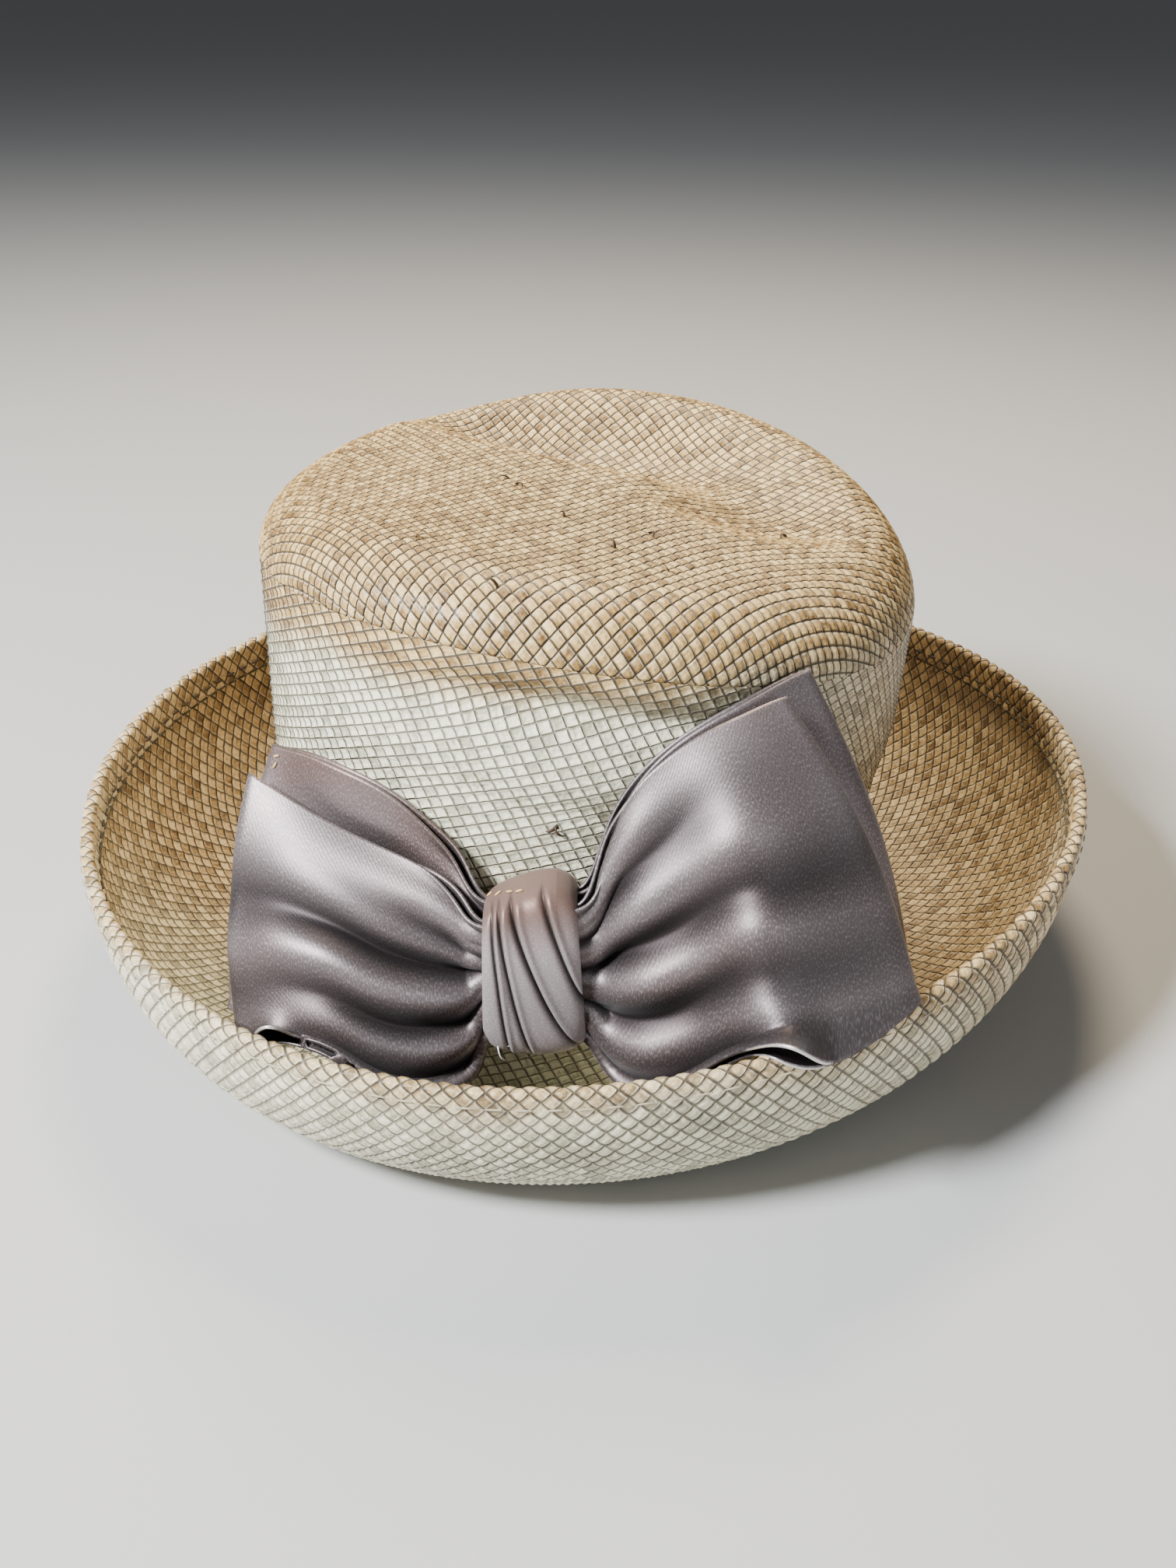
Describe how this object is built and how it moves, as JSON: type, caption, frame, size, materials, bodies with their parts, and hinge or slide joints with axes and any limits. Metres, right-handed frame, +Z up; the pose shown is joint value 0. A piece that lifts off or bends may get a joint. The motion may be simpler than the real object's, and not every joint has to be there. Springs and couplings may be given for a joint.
{
  "type": "brimmed straw hat with a ribbon bow",
  "caption": "Woven straw hat with a tall dented crown, a brim rolled up to a hemmed rim and a satin bow in front; open head hollow below.",
  "frame": {"origin": "middle of the hat's length and width, on the flat ring under the brim that it rests on", "axes": "+Z up out of the crown, -Y to the front where the bow is, +X to the wearer's left"},
  "size_m": [0.2796, 0.3144, 0.1416],
  "materials": {
    "straw_crown": "woven natural straw, warm tan, low sheen",
    "straw_brim": "woven natural straw, tan, low sheen",
    "satin_ribbon": "dark mauve-brown satin ribbon",
    "satin_knot": "dark mauve-brown satin ribbon, folded"
  },
  "bodies": {
    "root": {"crown": "straw_crown", "brim": "straw_brim", "bow_left_front_loop": "satin_ribbon", "bow_left_back_loop": "satin_ribbon", "bow_right_front_loop": "satin_ribbon", "bow_right_back_loop": "satin_ribbon", "bow_knot": "satin_knot"}
  },
  "joints": []
}
